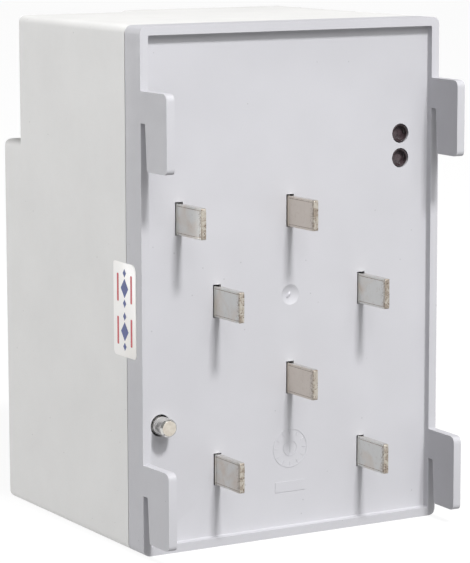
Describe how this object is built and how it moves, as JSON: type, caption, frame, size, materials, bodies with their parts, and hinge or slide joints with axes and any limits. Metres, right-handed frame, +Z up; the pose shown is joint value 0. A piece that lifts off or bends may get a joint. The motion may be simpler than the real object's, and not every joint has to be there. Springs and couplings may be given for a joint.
{
  "type": "plug-in electricity meter",
  "caption": "Plug-in household electricity meter: stepped plastic housing with rear hooks, contact blades and locking pin, optical ports, display and press button.",
  "frame": {"origin": "middle of the underside of the whole meter's bounding box, on the surface it stands on", "axes": "+Z up, -Y towards the display, +Y towards the blades and hooks at the back, +X towards the locking pin side"},
  "size_m": [0.0902, 0.0926, 0.135],
  "materials": {
    "housing_grey": "light grey moulded polycarbonate, fine matt spark texture",
    "inner_frame": "grey glass-filled plastic",
    "black_plastic": "black component moulding",
    "ir_window": "dark wine infrared-pass plastic, polished",
    "clear_window": "clear polycarbonate, polished",
    "lcd": "reflective liquid crystal glass, switched off",
    "label": "satin white film, printed with plain rules only",
    "button_blue": "blue satin plastic",
    "circuit_board": "green solder mask",
    "capacitor_film": "orange-brown box capacitor",
    "varistor_coating": "blue dipped epoxy",
    "contact_rubber": "striped conductive rubber",
    "lead_insulation": "grey insulation",
    "contact_plating": "dull tin-nickel plating with light tarnish",
    "pin_nickel": "turned and nickel-plated steel",
    "copper": "bare rolled copper",
    "steel": "zinc-plated steel"
  },
  "bodies": {
    "housing": {"rear_base": "housing_grey", "front_cover": "housing_grey", "contact_carrier": "inner_frame", "lcd_frame": "inner_frame", "front_ir_emitter": "black_plastic", "front_ir_receiver": "black_plastic", "rear_ir_emitter": "black_plastic", "rear_ir_receiver": "black_plastic", "pulse_led": "black_plastic", "button_switch": "black_plastic", "metering_chip": "black_plastic", "controller_chip": "black_plastic", "electrolytic_capacitor": "black_plastic", "current_transformer_l1": "black_plastic", "current_transformer_l2": "black_plastic", "current_transformer_l3": "black_plastic", "front_ir_lens": "ir_window", "rear_ir_lens_lower": "ir_window", "rear_ir_lens_upper": "ir_window", "display_window": "clear_window", "pulse_light_guide": "clear_window", "lcd_glass": "lcd", "nameplate": "label", "tamper_seal_label": "label", "main_board": "circuit_board", "rear_optical_board": "circuit_board", "film_capacitor": "capacitor_film", "varistor_l1": "varistor_coating", "varistor_l2": "varistor_coating", "varistor_l3": "varistor_coating", "lcd_contact_strip_lower": "contact_rubber", "lcd_contact_strip_upper": "contact_rubber", "optical_board_ribbon": "lead_insulation", "transformer_lead_l1": "lead_insulation", "transformer_lead_l2": "lead_insulation", "transformer_lead_l3": "lead_insulation", "contact_blade_l1_upper": "contact_plating", "contact_blade_l2_upper": "contact_plating", "contact_blade_l3_upper": "contact_plating", "contact_blade_l1_lower": "contact_plating", "contact_blade_l2_lower": "contact_plating", "contact_blade_l3_lower": "contact_plating", "contact_blade_neutral": "contact_plating", "voltage_tap_l1": "contact_plating", "voltage_tap_l2": "contact_plating", "voltage_tap_l3": "contact_plating", "voltage_tap_neutral": "contact_plating", "current_bar_l1": "copper", "current_bar_l2": "copper", "current_bar_l3": "copper", "optical_port_ring": "steel", "button_spring": "steel", "board_screw_1": "steel", "board_screw_2": "steel", "board_screw_3": "steel", "board_screw_4": "steel"},
    "locking_pin": {"locking_pin": "pin_nickel", "pin_retaining_clip": "steel"},
    "display_button": {"display_button": "button_blue"}
  },
  "joints": [
    {"name": "locking_pin_slide", "type": "slide", "parent": "housing", "child": "locking_pin", "axis": [0, -1, 0], "range_m": [0, 0.006]},
    {"name": "display_button_press", "type": "slide", "parent": "housing", "child": "display_button", "axis": [0, 1, 0], "range_m": [0, 0.001], "stiffness_N_per_m": 800, "springref_m": -0.001, "deforming": ["button_spring"]}
  ]
}
